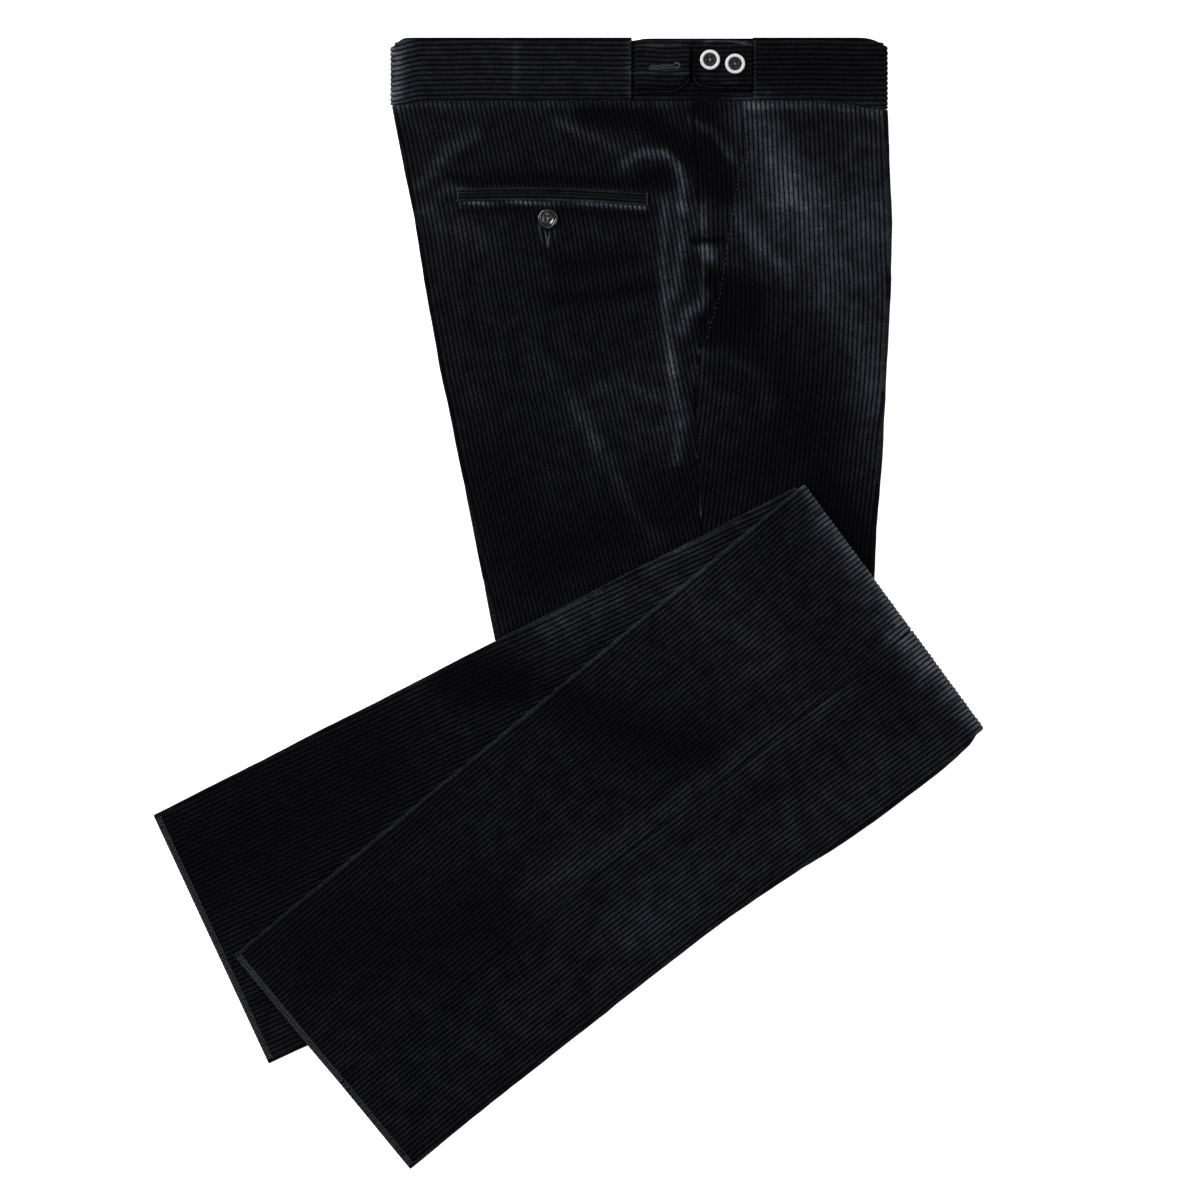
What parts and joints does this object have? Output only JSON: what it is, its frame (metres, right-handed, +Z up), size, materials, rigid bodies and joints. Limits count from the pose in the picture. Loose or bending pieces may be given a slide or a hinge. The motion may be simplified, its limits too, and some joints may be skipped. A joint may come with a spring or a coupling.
{
  "type": "trousers",
  "caption": "Black wide-wale corduroy trousers folded flat, right side up, legs turned back over the thigh, with hip pocket and buttoned waist adjuster.",
  "frame": {"origin": "on the floor under the middle of the folded outline", "axes": "+X to the wearer's front at the waist, +Y towards the waistband, +Z up from the floor through the layers"},
  "size_m": [0.6478, 0.8806, 0.0265],
  "materials": {
    "corduroy": "black wide-wale cotton corduroy, pile standing in ribs",
    "elastic": "corduroy-covered elastic",
    "button_ring": "glossy white",
    "button_dark": "glossy black"
  },
  "bodies": {
    "root": {"back_panel_thigh": "corduroy", "front_panel_thigh": "corduroy", "side_pocket_facing": "corduroy", "folded_layers_hip": "corduroy", "pocket_jet_upper": "corduroy", "pocket_jet_lower": "corduroy", "waistband_back": "corduroy", "waistband_front": "corduroy", "adjuster_tab": "corduroy", "adjuster_button_tab": "corduroy", "back_panel_calf": "corduroy", "front_panel_calf": "corduroy", "left_back_panel_calf": "corduroy", "left_front_panel_calf": "corduroy", "folded_layers_right_leg": "corduroy", "folded_layers_left_leg": "corduroy", "folded_layers_knee": "corduroy", "adjuster_elastic": "elastic", "adjuster_button_ring_1": "button_ring", "adjuster_button_centre_1": "button_dark", "adjuster_button_ring_2": "button_ring", "adjuster_button_centre_2": "button_dark", "pocket_button_rim": "button_dark", "pocket_button": "button_dark"}
  },
  "joints": []
}
